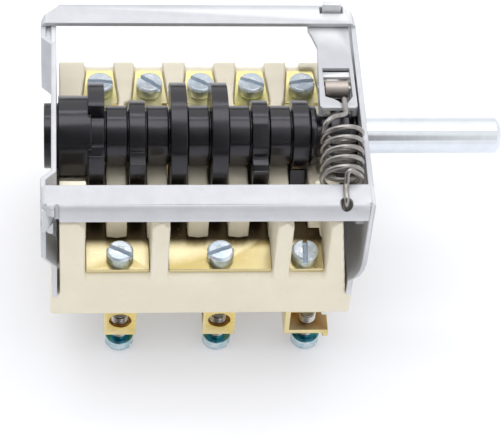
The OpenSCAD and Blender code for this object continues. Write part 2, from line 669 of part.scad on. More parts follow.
module ceramic_base() {
    color(cream) difference() {
        union() {
            // foot with the body on it
            block(foot_x0, foot_x0 + foot_len, -hb, hb, -base_bottom, foot_top);
            block(base_x0, base_x1, -hb, hb, -base_bottom, -chamber_floor);
            // near wall, behind and between the feed terminals
            difference() {
                block(base_x0, base_x1, -hb, rib_near + 2, -base_bottom, near_top);
                for (p = near_edges) near_pocket(p[0], p[1]);
            }
            // far wall under the load terminals
            block(base_x0, base_x1, pillar_y - 2, hb, -base_bottom, -far_floor);
            block(base_x0, base_x1, hb - far_wall, hb, -base_bottom, -far_wall_top);
            // end walls
            block(base_x0, cam_x(0) - chamber_w / 2, rib_near + 0.2, hb, -base_bottom, -rib_top);
            block(cam_x(cams - 1) + chamber_w / 2, base_x1, rib_near + 0.2, hb, -base_bottom, -rib_top);
            // ribs between the cams
            translate([0, 0, -chamber_floor - 1]) linear_extrude(chamber_floor + 1 - rib_top) {
                rib_plan(0, 0);
                rib_plan(1, 1);
                short_rib(2);
                rib_plan(3, 2);
                rib_plan(4, 3);
            }
        }
        // the front end leans back towards the top
        translate([0, hb + 1, 0]) rotate([90, 0, 0]) linear_extrude(base_w + 2)
            polygon([[base_x1 - front_lean, near_top], [base_x1 - front_lean / 4, -base_bottom / 2], [base_x1, lean_z],
                [0, lean_z], [0, near_top + 1], [base_x1 - front_lean, near_top + 1]]);
        // contact chambers, open to the terminals on both sides
        for (i = [0:cams - 1])
            block(cam_x(i) - chamber_w / 2, cam_x(i) + chamber_w / 2, rib_near, pillar_y - 1, -chamber_floor, near_top + 1);
        // round saddles under the barrel and the rear hub
        rod_x(rear, 0, hub_r + 0.3);
        rod_x(rear, rear_hub_x1 + 0.35, rear_hub_r + 0.3);
        rod_x(cam_x(cams - 1) + chamber_w / 2 + 1.6, 0, star_r + 0.35);
        // room over the ribs, between the near wall and the far pillars
        block(base_x0 - e, base_x1 + e, rib_near + 1.2, hb + 1, -rib_top, near_top + 1);
        // the near pillars stop short of the cams
        block(cam_x(0) - chamber_w / 2, cam_x(cams - 1) + chamber_w / 2, rib_near, rib_near + 3, -rib_top, near_top + 1);
        // pockets and through holes of the load terminals
        for (x = far_screw_x) {
            translate([0, 0, -far_floor]) linear_extrude(far_floor) pocket_plan(x, 0);
            translate([x, far_screw_y, -base_bottom - 1]) cylinder(h = base_bottom, r = shank_r + 0.2);
        }
        for (x = near_screw_x)
            translate([x, near_screw_y, -base_bottom - 1]) cylinder(h = base_bottom, r = shank_r + 0.2);
    }
}

// A strip round its screw, with a tongue for each contact reaching into the chambers
module feed_strip(k, rows) {
    p = near_edges[k];
    color(brass) difference() {
        translate([0, 0, -near_floor]) linear_extrude(strip_t) {
            translate([p[0] + strip_play, -hb + 1.1]) square([p[1] - p[0] - 2 * strip_play, hb - 1.1 + rib_near]);
            for (i = rows) translate([cam_x(i) - chamber_w / 2 + strip_play, rib_near - 0.5]) square([chamber_w - 2 * strip_play, 5]);
        }
        translate([near_screw_x[k], near_screw_y, -near_floor - 1]) cylinder(h = strip_t + 2, r = shank_r);
    }
}

contact_y = rib_near + 3;
rest_gap = 0.8;
blade_z = -near_floor - 0.5 - rest_gap - 0.5 - blade_t;
blade_root = pillar_y - 1.6;

module load_strip(k, rows) {
    x = far_screw_x[k];
    w = far_pocket_in;
    color(brass) difference() {
        translate([0, 0, -far_floor]) linear_extrude(strip_t) {
            intersection() {
                pocket_plan(x, strip_play);
                translate([x - w, blade_root + 0.7]) square([2 * w, hb]);
            }
            // neck into the chambers, with an arm to each blade
            translate([x - 2, blade_root - 0.3]) square([4, 1.4]);
            for (i = rows) translate([min(cam_x(i) - blade_w / 2, x), blade_root - 0.3])
                square([max(x, cam_x(i) + blade_w / 2) - min(cam_x(i) - blade_w / 2, x), 0.75]);
        }
        translate([x, far_screw_y, -far_floor - 1]) cylinder(h = strip_t + 2, r = shank_r);
    }
}

// A blade hangs from its load strip, runs under its follower and ends in a silver rivet
module contact_blade(i) {
    x = cam_x(i);
    color([0.8, 0.55, 0.3]) {
        translate([x - blade_w / 2, 0, 0]) rotate([90, 0, 90]) linear_extrude(blade_w)
            polygon([[contact_y - 1.5 * rivet_r, blade_z], [blade_root - blade_bend, blade_z],
                [blade_root, blade_z + blade_bend * 0.625], [blade_root, -far_floor], [blade_root - blade_t, -far_floor],
                [blade_root - blade_t, blade_z + blade_bend * 0.656], [blade_root - blade_bend - 0.1, blade_z + blade_t],
                [contact_y - 1.5 * rivet_r, blade_z + blade_t]]);
        translate([x, contact_y, blade_z]) cylinder(h = blade_t + rivet_r / 2, r = rivet_r);
    }
}

// A follower stands on its blade and is held down by the full radius of its cam
module follower(i) {
    z0 = blade_z + blade_t;
    top = -cam_r - 0.08;
    foot = follower_foot;
    head = follower_head;
    color([0.93, 0.9, 0.84]) translate([cam_x(i) - follower_w / 2, 0, 0]) rotate([90, 0, 90]) linear_extrude(follower_w)
        polygon([[-foot, z0], [foot, z0], [foot, z0 + foot], [head, z0 + foot + 0.4], [head, top - 0.6], [head - 0.6, top],
            [0.6 - head, top], [-head, top - 0.6], [-head, z0 + foot + 0.4], [-foot, z0 + foot]]);
}

// Screw with a domed cheese head, its seat at the origin and its shank pointing down
module screw(head, height, shank, length, turn) {
    color(bright) difference() {
        union() {
            rotate_extrude() intersection() {
                union() {
                    square([head - 0.35, height - 0.1]);
                    square([head, height - 0.5]);
                    translate([head - 0.5, height - 0.6]) circle(0.5);
                    translate([0, height - 4.2]) circle(4.2);
                }
                square([head, height]);
            }
            translate([0, 0, -length]) cylinder(h = length + e, r = shank);
        }
        rotate([0, 0, turn]) translate([-head - 1, -slot_w / 2, height * 0.5]) cube([2 * head + 2, slot_w, height]);
    }
}

near_turns = [-28, 22, 88];
far_turns = [-4, -38, -32, -22, 8];

module feed_screw(k) {
    translate([near_screw_x[k], near_screw_y, -near_floor + strip_t])
        screw(head_r, head_h, shank_r - 0.02, base_bottom - near_floor + strip_t + 1.6, near_turns[k]);
}

module load_screw(k) {
    translate([far_screw_x[k], far_screw_y, -far_floor + strip_t])
        screw(head_r, head_h, shank_r - 0.02, base_bottom - far_floor + strip_t + 1.6, far_turns[k]);
}

side_shift = 0.8;
wire_play = 0.2;
clamp_turn = 35;

// Wire clamp: a folded strip under the base, with a wire hole in its front wall
module clamp_box(w, shift) {
    difference() {
        translate([-w / 2, -clamp_d / 2, -clamp_h]) cube([w, clamp_d, clamp_h]);
        translate([-w, -clamp_d / 2 + clamp_t, -clamp_h + clamp_t]) cube([2 * w, clamp_d, clamp_h - 2 * clamp_t]);
        translate([0, -clamp_d, -wire_hole_r - clamp_t - wire_play]) rotate([-90, 0, 0]) cylinder(h = clamp_d, r = wire_hole_r);
        translate([0, 0, -1.5 * clamp_h]) cylinder(h = clamp_h, r = shank_r);
        translate([-shift, 0, -clamp_h / 2]) cylinder(h = clamp_h, r = shank_r);
    }
}

// The clamp beside the shaft is open to the front, with a wall on its left and a turned-down lip
module side_clamp() {
    w = clamp_w + side_extra;
    difference() {
        union() {
            translate([-w / 2, -clamp_d / 2, -clamp_h]) cube([w, clamp_d, clamp_h]);
            translate([w / 2 - e, -clamp_d / 2, -clamp_h - lip_h]) cube([clamp_t, clamp_d * 0.6, lip_h + clamp_t + lip_h / 2]);
        }
        translate([-w / 2 + clamp_t, -clamp_d, -clamp_h + clamp_t]) cube([2 * w, 2 * clamp_d, clamp_h - 2 * clamp_t]);
        translate([side_shift, 0, -1.5 * clamp_h]) cylinder(h = clamp_h, r = shank_r);
        translate([near_screw_x[2] - clamp_x[2], 0, -clamp_h / 2]) cylinder(h = clamp_h, r = shank_r);
    }
}

module feed_clamp(k) {
    color(brass) translate([clamp_x[k], near_screw_y, -base_bottom])
        if (k == 2) side_clamp();
        else clamp_box(clamp_w, clamp_x[k] - near_screw_x[k]);
}

module load_clamp(k) {
    color(brass) translate([far_screw_x[k], far_screw_y, -base_bottom]) rotate([0, 0, 180]) clamp_box(clamp_w, 0);
}

module clamp_screw() {
    rotate([180, 0, 0]) screw(clamp_head_r, head_h, shank_r - 0.02, backed_out + clamp_t + tip_len, clamp_turn);
}

module feed_clamp_screw(k) {
    translate([clamp_x[k] + (k == 2 ? side_shift : 0), near_screw_y, -base_bottom - clamp_h - backed_out]) clamp_screw();
}

module load_clamp_screw(k) {
    translate([far_screw_x[k], far_screw_y, -base_bottom - clamp_h - backed_out]) clamp_screw();
}

frame();
ceramic_base();
camshaft();
shaft();
detent_lever();
roller_pin();
detent_roller();
tension_spring();
feed_strip(0, [0, 1]);  // feed_strip_1
feed_strip(1, [2, 3, 4]);  // feed_strip_2
feed_strip(2, [5]);  // feed_strip_3
load_strip(0, [0]);  // load_strip_1
load_strip(1, [1]);  // load_strip_2
load_strip(2, [2, 3]);  // load_strip_3
load_strip(3, [4]);  // load_strip_4
load_strip(4, [5]);  // load_strip_5
contact_blade(0);  // contact_blade_1
contact_blade(1);  // contact_blade_2
contact_blade(2);  // contact_blade_3
contact_blade(3);  // contact_blade_4
contact_blade(4);  // contact_blade_5
contact_blade(5);  // contact_blade_6
follower(0);  // follower_1
follower(1);  // follower_2
follower(2);  // follower_3
follower(3);  // follower_4
follower(4);  // follower_5
follower(5);  // follower_6
feed_screw(0);  // feed_screw_1
feed_screw(1);  // feed_screw_2
feed_screw(2);  // feed_screw_3
load_screw(0);  // load_screw_1
load_screw(1);  // load_screw_2
load_screw(2);  // load_screw_3
load_screw(3);  // load_screw_4
load_screw(4);  // load_screw_5
feed_clamp(0);  // feed_clamp_1
feed_clamp(1);  // feed_clamp_2
feed_clamp(2);  // feed_clamp_3
load_clamp(0);  // load_clamp_1
load_clamp(1);  // load_clamp_2
load_clamp(2);  // load_clamp_3
load_clamp(3);  // load_clamp_4
load_clamp(4);  // load_clamp_5
feed_clamp_screw(0);  // feed_clamp_screw_1
feed_clamp_screw(1);  // feed_clamp_screw_2
feed_clamp_screw(2);  // feed_clamp_screw_3
load_clamp_screw(0);  // load_clamp_screw_1
load_clamp_screw(1);  // load_clamp_screw_2
load_clamp_screw(2);  // load_clamp_screw_3
load_clamp_screw(3);  // load_clamp_screw_4
load_clamp_screw(4);  // load_clamp_screw_5
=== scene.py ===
"""Hot plate cam switch: finishes, softened edges, spring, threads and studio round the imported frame."""
import json
import math

import bmesh
import bpy
from mathutils import Matrix, Vector
from mathutils.bvhtree import BVHTree

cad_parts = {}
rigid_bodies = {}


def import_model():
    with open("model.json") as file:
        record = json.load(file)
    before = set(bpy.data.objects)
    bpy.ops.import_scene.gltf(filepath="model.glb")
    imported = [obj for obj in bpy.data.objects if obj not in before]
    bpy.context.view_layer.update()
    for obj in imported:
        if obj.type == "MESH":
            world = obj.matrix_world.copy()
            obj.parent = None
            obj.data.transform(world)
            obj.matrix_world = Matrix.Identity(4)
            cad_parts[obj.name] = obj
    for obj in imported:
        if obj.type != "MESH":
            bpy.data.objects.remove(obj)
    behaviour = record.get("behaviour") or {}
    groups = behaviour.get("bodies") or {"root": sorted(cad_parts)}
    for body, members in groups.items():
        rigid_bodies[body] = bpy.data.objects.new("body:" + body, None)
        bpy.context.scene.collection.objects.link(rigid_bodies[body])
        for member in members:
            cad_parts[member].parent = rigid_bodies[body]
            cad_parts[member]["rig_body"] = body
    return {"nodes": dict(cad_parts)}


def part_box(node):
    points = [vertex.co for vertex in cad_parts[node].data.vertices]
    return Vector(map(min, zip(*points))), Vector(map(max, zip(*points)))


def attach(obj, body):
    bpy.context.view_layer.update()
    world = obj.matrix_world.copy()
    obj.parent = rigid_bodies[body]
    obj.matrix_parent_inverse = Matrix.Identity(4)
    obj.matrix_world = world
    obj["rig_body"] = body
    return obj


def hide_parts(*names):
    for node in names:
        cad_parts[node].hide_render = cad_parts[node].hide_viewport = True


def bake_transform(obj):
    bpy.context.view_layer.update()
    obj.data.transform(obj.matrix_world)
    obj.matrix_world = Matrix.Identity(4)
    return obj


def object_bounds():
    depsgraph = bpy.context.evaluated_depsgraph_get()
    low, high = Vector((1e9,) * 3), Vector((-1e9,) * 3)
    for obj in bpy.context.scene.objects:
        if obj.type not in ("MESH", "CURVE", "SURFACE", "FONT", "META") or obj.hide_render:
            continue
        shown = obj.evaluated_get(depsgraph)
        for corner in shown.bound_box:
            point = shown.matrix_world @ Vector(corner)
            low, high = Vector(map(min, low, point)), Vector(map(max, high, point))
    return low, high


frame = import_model()
cad_box = [list(corner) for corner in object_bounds()]
nodes = frame["nodes"]
MM = 0.001
# Lengths here and below are in millimetres, unless a comment says otherwise
# Middles along the base of the ceramic's ribs and of its narrow wall by the last strip, and half their widths
rib_places = (-40.475, -33.77, -27.065, -20.36, -13.655)
wall_place = -7.7
rib_half, wall_half = 1.95, 1.2
# A clamp screw's head ends below this height over its low end, and is lifted towards its clamp
head_top = 2.4
head_lift = 0.5
# Vertices no further apart than this are one
touching = 0.003


# Shader nodes
class Value:
    """An output in a tree of nodes. Arithmetic on it adds Math nodes."""

    def __init__(self, maker, socket):
        self.maker = maker
        self.socket = socket

    def math(self, operation, *others, first=None):
        """A Math node over this value and others, or over first and this value."""
        values = [self, *others] if first is None else [first, self]
        return self.maker.node("ShaderNodeMath", {"operation": operation}, values)

    def __add__(self, other):
        return self.math("ADD", other)

    def __radd__(self, other):
        return self.math("ADD", first=other)

    def __sub__(self, other):
        return self.math("SUBTRACT", other)

    def __rsub__(self, other):
        return self.math("SUBTRACT", first=other)

    def __mul__(self, other):
        return self.math("MULTIPLY", other)

    def __rmul__(self, other):
        return self.math("MULTIPLY", first=other)

    def highest(self, other):
        return self.math("MAXIMUM", other)


class Maker:
    """Adds nodes to one tree."""

    def __init__(self, tree):
        self.tree = tree

    def node(self, kind, settings=None, inputs=(), output=0):
        """A node of a kind: its settings come first, then the values or links of its sockets."""
        made = self.tree.nodes.new(kind)
        for key, value in (settings or {}).items():
            setattr(made, key, value)
        for key, value in inputs.items() if isinstance(inputs, dict) else enumerate(inputs):
            if isinstance(value, Value):
                self.tree.links.new(value.socket, made.inputs[key])
            else:
                made.inputs[key].default_value = value
        return Value(self, made.outputs[output])

    def clear(self, value, low, high):
        """A soft step from 0 to 1 as value goes from low to high."""
        inputs = {"Value": value, "From Min": low, "From Max": high}
        return self.node("ShaderNodeMapRange", {"interpolation_type": "SMOOTHSTEP"}, inputs)

    def blend(self, amount, first, second):
        """A colour that goes from first to second as amount goes from 0 to 1."""
        first, second = [(*c, 1) if isinstance(c, tuple) else c for c in (first, second)]
        return self.node("ShaderNodeMix", {"data_type": "RGBA"}, {0: amount, 6: first, 7: second}, 2)

    def seen(self):
        """1 for a ray from the camera, off gloss or through glass, 0 for scattered light."""
        camera, gloss, glass = [self.node("ShaderNodeLightPath", output=f"Is {kind} Ray")
                                for kind in ("Camera", "Glossy", "Transmission")]
        return camera.highest(gloss).highest(glass)

    def show(self, surface, output):
        """Links a surface to the tree's output node."""
        self.tree.links.new(surface.socket, self.tree.nodes[output].inputs["Surface"])


class Finish(Maker):
    """A material and the nodes that make it. Constants go straight on the shader's sockets."""

    def __init__(self, name, **constants):
        self.material = bpy.data.materials.new(name)
        self.material.use_nodes = True
        super().__init__(self.material.node_tree)
        self.shader = self.tree.nodes["Principled BSDF"]
        for socket, value in constants.items():
            self.shader.inputs[socket.replace("_", " ")].default_value = value

    def feed(self, **links):
        """Links values to the shader's sockets."""
        for socket, value in links.items():
            self.tree.links.new(value.socket, self.shader.inputs[socket.replace("_", " ")])

    def noise(self, scale, detail=3, rough=0.55, stretch=(1, 1, 1)):
        """Noise of a scale per millimetre, drawn out along the axes where stretch is under 1."""
        at = self.node("ShaderNodeTexCoord", output="Object")
        scaled = tuple(s / MM for s in stretch)
        at = self.node("ShaderNodeMapping", inputs={"Vector": at, "Scale": scaled})
        inputs = {"Vector": at, "Scale": scale, "Detail": detail, "Roughness": rough}
        return self.node("ShaderNodeTexNoise", inputs=inputs)

    def across(self):
        """The place across the base, in metres."""
        at = self.node("ShaderNodeTexCoord", output="Object")
        return self.node("ShaderNodeSeparateXYZ", inputs=[at], output="Y")

    def worn(self, low, high):
        """A soft step over pointiness: flats lie at 0.5, outer edges above it and corners below."""
        return self.clear(self.node("ShaderNodeNewGeometry", output="Pointiness"), low, high)

    def relief(self, height, depth):
        """Bump of a depth."""
        inputs = {"Height": height, "Distance": depth * MM, "Strength": 1.0}
        self.feed(Normal=self.node("ShaderNodeBump", inputs=inputs))


# Finishes
def plated_sheet(name, shade, grain, rough):
    """Zinc-plated sheet: rolling grain, cloudy plating, a few dull spots and brighter rubbed edges."""
    f = Finish(name, Metallic=0.36, IOR=1.5)
    cloud = f.noise(0.3, 4)
    grainy = f.noise(2.4, 3, 0.6, grain)
    speck = f.clear(f.noise(1.6, 2, 0.5), 0.64, 0.74)
    edge = f.worn(0.53, 0.6)
    tint = f.blend(f.clear(cloud, 0.3, 0.7), shade, tuple(c * 0.93 for c in shade))
    tint = f.blend(speck * 0.2, tint, (0.45, 0.45, 0.46))
    tint = f.blend(edge * 0.5, tint, (0.9, 0.9, 0.9))
    f.feed(Base_Color=tint, Roughness=rough + 0.12 * cloud + 0.08 * grainy + 0.1 * speck - 0.12 * edge)
    f.relief(grainy + 0.4 * f.noise(9, 2) + 1.5 * f.noise(0.25, 2), 0.012)
    return f.material


def fired_ceramic():
    """Pressed cream ceramic: fine grain, warm patches, pores, paler edges and browner corners."""
    f = Finish("fired ceramic", IOR=1.5)
    patch = f.noise(0.12, 3)
    grain = f.noise(5, 4, 0.6)
    pit = f.clear(f.noise(2.6, 2, 0.5), 0.64, 0.8)
    edge = f.worn(0.52, 0.6)
    hollow = f.worn(0.47, 0.4)
    tint = f.blend(f.clear(patch, 0.35, 0.65), (0.865, 0.8, 0.64), (0.835, 0.765, 0.6))
    tint = f.blend(f.clear(grain, 0.4, 0.7) * 0.25, tint, (0.92, 0.87, 0.74))
    tint = f.blend(pit * 0.25, tint, (0.55, 0.47, 0.32))
    tint = f.blend(edge * 0.35, tint, (0.93, 0.89, 0.78))
    tint = f.blend(hollow * 0.4, tint, (0.6, 0.5, 0.34))
    f.feed(Base_Color=tint, Roughness=0.45 + 0.2 * grain + 0.1 * patch - 0.08 * edge)
    f.relief(grain * 0.6 - 0.6 * pit + 0.5 * f.noise(1.1, 2), 0.04)
    return f.material


def black_moulding():
    """Glossy black thermoset: flow marks, fine swirl, handling scuffs and greyer edges."""
    f = Finish("black moulding", IOR=1.6, Specular_Tint=(0.95, 0.92, 1, 1))
    flow = f.noise(0.4, 3, 0.5, (0.4, 1, 1))
    fine = f.noise(4, 3)
    scuff = f.clear(f.noise(1.4, 5, 0.7, (1, 3, 3)), 0.62, 0.78)
    edge = f.worn(0.53, 0.62)
    tint = f.blend(scuff * 0.4, (0.003, 0.003, 0.0038), (0.02, 0.02, 0.024))
    tint = f.blend(edge * 0.3, tint, (0.05, 0.05, 0.058))
    f.feed(Base_Color=tint, Roughness=0.13 + 0.1 * flow + 0.05 * fine + 0.18 * scuff + 0.1 * edge)
    f.relief(flow + 0.2 * fine, 0.03)
    return f.material


def turned_steel(name, shade, rough, ring=7.0, depth=0.0008):
    """Turned steel: fine rings round the X axis, light wear."""
    f = Finish(name, Metallic=1.0)
    rings = f.noise(ring, 2, 0.5, (1, 0.02, 0.02))
    cloud = f.noise(0.5, 3)
    tint = f.blend(f.clear(cloud, 0.3, 0.75) * 0.4, shade, tuple(c * 0.85 for c in shade))
    f.feed(Base_Color=tint, Roughness=rough + 0.04 * rings + 0.05 * cloud)
    f.relief(rings, depth)
    return f.material


def drawn_wire():
    """Spring wire: dark drawn steel with die lines and oily patches."""
    f = Finish("drawn wire", Metallic=1.0)
    patch = f.noise(0.9, 4)
    line = f.noise(6, 2, 0.6)
    tint = f.blend(f.clear(patch, 0.3, 0.7), (0.42, 0.4, 0.38), (0.3, 0.28, 0.265))
    f.feed(Base_Color=tint, Roughness=0.2 + 0.14 * patch + 0.08 * line)
    f.relief(line, 0.01)
    return f.material


def rolled_brass(name, shade, rough, grain=(1, 0.12, 1), tarnish=(0.42, 0.3, 0.1), painted_shade_span=None, lean=0.0):
    """Bright brass strip: rolling lines, tarnish clouds and fingered spots.

    Between the two places given across the base it goes dark brown: painted shade, with a painted dark
    reflection of the bar above. Light sees it slope up by lean.
    """
    depth = 0.0015
    f = Finish(name, Metallic=1.0)
    line = f.noise(3.2, 3, 0.6, grain)
    cloud = f.noise(0.28, 4)
    spot = f.clear(f.noise(1.3, 3), 0.6, 0.72)
    edge = f.worn(0.53, 0.6)
    tint = f.blend(f.clear(cloud, 0.38, 0.72) * 0.35, shade, tarnish)
    tint = f.blend(spot * 0.18, tint, tuple(c * 0.8 for c in tarnish))
    # Painted shade and painted dark reflection: dark brown between the two places across the base
    if painted_shade_span:
        brown = f.clear(f.across(), painted_shade_span[0] * MM, painted_shade_span[1] * MM)
        tint = f.blend(brown, tint, (0.04, 0.028, 0.014))
        edge = edge - brown
    tint = f.blend(edge * 0.6, tint, (0.97, 0.88, 0.6))
    f.feed(Base_Color=tint, Roughness=rough + 0.1 * cloud + 0.06 * line + 0.14 * spot)
    f.relief(line + 0.5 * cloud + f.across() * (lean / (depth * MM)), depth)
    return f.material


def plated_screw(name, shade, tinge, rough, metallic=1.0):
    """Zinc-plated screw: cloudy passivation tinge, driver marks and cold-headed grain."""
    f = Finish(name, Metallic=metallic)
    cloud = f.noise(0.7, 3)
    mark = f.clear(f.noise(3.5, 4, 0.7), 0.58, 0.7)
    edge = f.worn(0.53, 0.6)
    tint = f.blend(f.clear(cloud, 0.35, 0.65), shade, tinge)
    tint = f.blend(mark * 0.3, tint, (0.3, 0.3, 0.31))
    tint = f.blend(edge * 0.6, tint, (0.92, 0.93, 0.95))
    f.feed(Base_Color=tint, Roughness=rough + 0.12 * cloud + 0.12 * mark)
    f.relief(f.noise(5, 3) + mark * 0.5, 0.007)
    return f.material


def moulded_white():
    """Follower plastic: matt, slightly mottled."""
    f = Finish("moulded white", IOR=1.5)
    mottle = f.noise(1.6, 4)
    f.feed(Base_Color=f.blend(mottle, (0.74, 0.71, 0.64), (0.86, 0.84, 0.78)), Roughness=0.4 + 0.2 * mottle)
    f.relief(mottle, 0.02)
    return f.material


# Meshes
def put(name, mesh, body, slot, finish, *replaced):
    """A piece that rides on a body, takes a finish and may stand for CAD nodes. Its slot is not used."""
    piece = bpy.data.objects.new(name, mesh)
    bpy.context.collection.objects.link(piece)
    mesh.materials.clear()
    mesh.materials.append(finish)
    if replaced:
        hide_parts(*replaced)
    if body:
        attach(piece, body)
    return piece


def smooth(mesh, angle):
    """Smooth shading that keeps edges sharper than an angle in degrees."""
    mesh.polygons.foreach_set("use_smooth", [True] * len(mesh.polygons))
    mesh.set_sharp_from_angle(angle=math.radians(angle))


def made_mesh(name, shape):
    """The mesh of a bmesh, which is freed."""
    mesh = bpy.data.meshes.new(name)
    shape.to_mesh(mesh)
    shape.free()
    return mesh


def box_of(name):
    """The low and high corner of a node."""
    return [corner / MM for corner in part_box(name)]


def oblong(west, east, near, far):
    """The plan of a rectangle."""
    return [(west, near), (east, near), (east, far), (west, far)]


def prism(shape, plan, low, high, flat=False):
    """Adds a prism over a plan from low to high: along Z, or along Y where flat is given."""
    rings = []
    for z in (low, high):
        places = [(a, z, b) if flat else (a, b, z) for a, b in plan]
        rings.append([shape.verts.new(Vector(place) * MM) for place in places])
    made = [shape.faces.new(rings[0][::-1]), shape.faces.new(rings[1])]
    for k in range(len(plan)):
        after = (k + 1) % len(plan)
        made.append(shape.faces.new((rings[0][k], rings[0][after], rings[1][after], rings[1][k])))
    bmesh.ops.recalc_face_normals(shape, faces=made)


def run_strip_on(shape, name):
    """The feed strips run on under the ribs."""
    near, far, floor, top = -13.6, -11.2, -11.2, -10.42
    low, high = box_of(name)
    for x in (*rib_places, wall_place):
        if low.x < x < high.x:
            half = wall_half if x == wall_place else rib_half
            prism(shape, oblong(x - half, x + half, near, far), floor, top)


def close_corners(shape):
    """The frame's sheet runs on at its two rear corners."""
    # Near corner: the edge swings from the bar out to the leg, with the leg's inside behind it
    swing = [(-52.6, 7.2), (-50.5, 7.2), (-50.6, 4.9), (-50.9, 3.9), (-51.8, 2.2), (-52.6, 1.8)]
    inside = [(-51.9, 3.4), (-50.8, 5), (-50.8, 0.9), (-51.3, 0.5), (-51.9, 1)]
    prism(shape, swing, -22, -21.3, flat=True)
    prism(shape, inside, -21.2, -20.8, flat=True)
    # Far corner: the top edge runs straight on, with the web under it
    edge = [(-51.1, 13.9), (-50.25, 13.9), (-50.25, 20.8), (-51.1, 20.2)]
    under = [(-52.6, 15.4), (-51, 14), (-51, 20), (-52.6, 18.8)]
    prism(shape, edge, 6, 7.5)
    prism(shape, under, 4.8, 6.9)


def lift_head(shape, name):
    """A clamp screw's head stands nearer its clamp."""
    low, _ = box_of(name)
    for v in shape.verts:
        if v.co.z < (low.z + head_top) * MM:
            v.co.z += head_lift * MM


def eased(name, radius):
    """A copy of a node's mesh with its sharp edges rounded by a radius."""
    flat, sharp = math.radians(0.6), math.radians(30)
    # A vertex further off the surface than this part of the radius goes back to it
    stray = 0.45
    sliver = 0.004
    # Folded sheet has tiny facets in its bends, which are welded away
    weld = 0.02 if name in ("frame", "detent_lever") else touching
    shape = bmesh.new()
    shape.from_mesh(nodes[name].data)
    if name.startswith("feed_strip"):
        run_strip_on(shape, name)
    if name == "frame":
        close_corners(shape)
    if "clamp_screw" in name:
        lift_head(shape, name)
    bmesh.ops.remove_doubles(shape, verts=shape.verts, dist=weld * MM)
    skin = BVHTree.FromBMesh(shape)
    bmesh.ops.dissolve_limit(shape, angle_limit=flat, verts=shape.verts, edges=shape.edges)
    edges = [e for e in shape.edges if len(e.link_faces) == 2 and e.calc_face_angle(0) > sharp]
    bmesh.ops.bevel(shape, geom=edges, offset=radius * MM, offset_type="OFFSET", segments=2, profile=0.5,
                    affect="EDGES", clamp_overlap=False)
    for v in shape.verts:
        place, _, _, off = skin.find_nearest(v.co)
        if off > stray * radius * MM:
            v.co = place
    bmesh.ops.dissolve_degenerate(shape, dist=sliver * MM, edges=shape.edges)
    mesh = made_mesh(name + "_eased", shape)
    smooth(mesh, 50)
    return mesh


def second(mesh, finish, wanted):
    """Gives another finish to the faces that a test picks by centre and normal."""
    mesh.materials.append(finish)
    for face in mesh.polygons:
        if wanted(face.center / MM, face.normal):
            face.material_index = len(mesh.materials) - 1


def finish_clamp_screw(name, mesh):
    """A clamp screw has a steel shank, and a dark blue rim between it and the head: blue plating under a
    painted shade.
    """
    low, _ = box_of(name)
    shank = low.z + 3
    head = low.z + head_top
    second(mesh, thread_steel, lambda c, n: c.z > shank)
    # Painted shade over the blue plating on the rim under the head
    second(mesh, shaded_blue_plating, lambda c, n: head < c.z < shank)


def finish_screw(name, mesh):
    """A terminal screw's upright sides take an olive painted shade, and its slot is duller inside."""
    low, high = box_of(name)
    axis = (low + high) / 2
    slot_floor, slot_top = high.z - 1.6, high.z - 0.14
    slot_end = (high.x - low.x) / 2 - 0.25
    # Painted shade, olive, on the upright faces
    second(mesh, side_shade_zinc, lambda c, n: abs(n.z) < 0.3)
    second(mesh, slot_zinc,
           lambda c, n: slot_floor < c.z < slot_top and (c - axis).xy.length < slot_end)


def finish_clamp(name, mesh):
    """Inside a clamp the brass takes a painted shade, dark and coppery."""
    low, high = box_of(name)
    axis = (low + high) / 2
    room = (high - low) / 2 - Vector((0.15, 0.35, 0.35))
    # Painted shade on the faces inside the clamp
    second(mesh, clamp_painted_shade,
           lambda c, n: all(abs(off) < most for off, most in zip(c - axis, room)))


def settled(piece):
    """Applies a piece's modifiers to its mesh."""
    seen = piece.evaluated_get(bpy.context.evaluated_depsgraph_get())
    mesh = bpy.data.meshes.new_from_object(seen)
    piece.modifiers.clear()
    piece.data = mesh


def cast(name, body, slot, finish, cuts):
    """Stands for a node, with its edges softened the way pressed ceramic is.

    Each cut is the plan, low and high end of a prism to take away.
    """
    # Size of the facets, and the part of them kept
    grain, share = 0.3, 0.7
    shape = bmesh.new()
    shape.from_mesh(nodes[name].data)
    bmesh.ops.remove_doubles(shape, verts=shape.verts, dist=touching * MM)
    piece = put(name + "_cast", made_mesh(name + "_cast", shape), body, slot, finish, name)
    shape = bmesh.new()
    for plan, low, high in cuts:
        prism(shape, plan, low, high)
    cutter = bpy.data.objects.new("cutter", made_mesh("cutter", shape))
    bpy.context.collection.objects.link(cutter)
    carve = piece.modifiers.new("carve", "BOOLEAN")
    carve.object = cutter
    press = piece.modifiers.new("press", "REMESH")
    press.mode = "VOXEL"
    press.voxel_size = grain * MM
    press.use_smooth_shade = True
    fire = piece.modifiers.new("fire", "SMOOTH")
    fire.factor = 0.5
    fire.iterations = 3
    thin = piece.modifiers.new("thin", "DECIMATE")
    thin.ratio = share
    settled(piece)
    bpy.data.objects.remove(cutter)


def flowing(points, steps):
    """Points of a smooth curve through the given points, with steps to each span."""
    points = [Vector(p) for p in points]
    last = len(points) - 1
    path = []
    for i in range(last):
        a, b, c, d = points[max(i - 1, 0)], points[i], points[i + 1], points[min(i + 2, last)]
        for k in range(steps):
            t = k / steps
            path.append(0.5 * (2 * b + (c - a) * t + (2 * a - 5 * b + 4 * c - d) * t ** 2
                               + (3 * b - a - 3 * c + d) * t ** 3))
    return path + [points[-1]]


